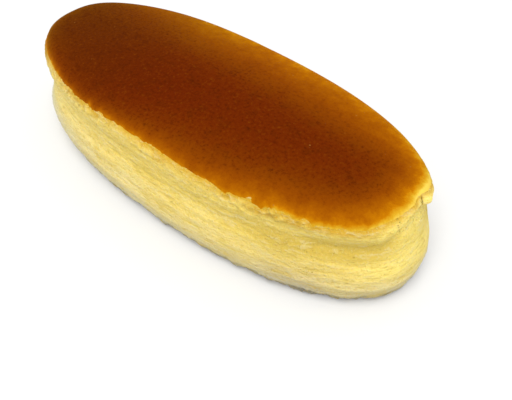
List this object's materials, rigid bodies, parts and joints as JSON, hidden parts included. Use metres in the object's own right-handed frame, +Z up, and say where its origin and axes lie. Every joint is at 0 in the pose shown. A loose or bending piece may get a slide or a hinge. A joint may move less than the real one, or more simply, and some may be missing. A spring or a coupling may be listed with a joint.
{
  "type": "japanese cheesecake",
  "caption": "Whole oval souffle cheesecake with a flat base, a soft bulging yellow side, a sagging rolled rim with a short split at one end, and a low browned crown.",
  "frame": {"origin": "middle of the flat base", "axes": "+X along the length of the oval towards the end with the split rim, +Y across its width, +Z up"},
  "size_m": [0.2093, 0.0911, 0.047],
  "materials": {
    "baked_sponge": "soft matt pale yellow sponge on the side and base, with a satin caramel brown crust on the crown"
  },
  "bodies": {
    "root": {"cheesecake": "baked_sponge"}
  },
  "joints": []
}
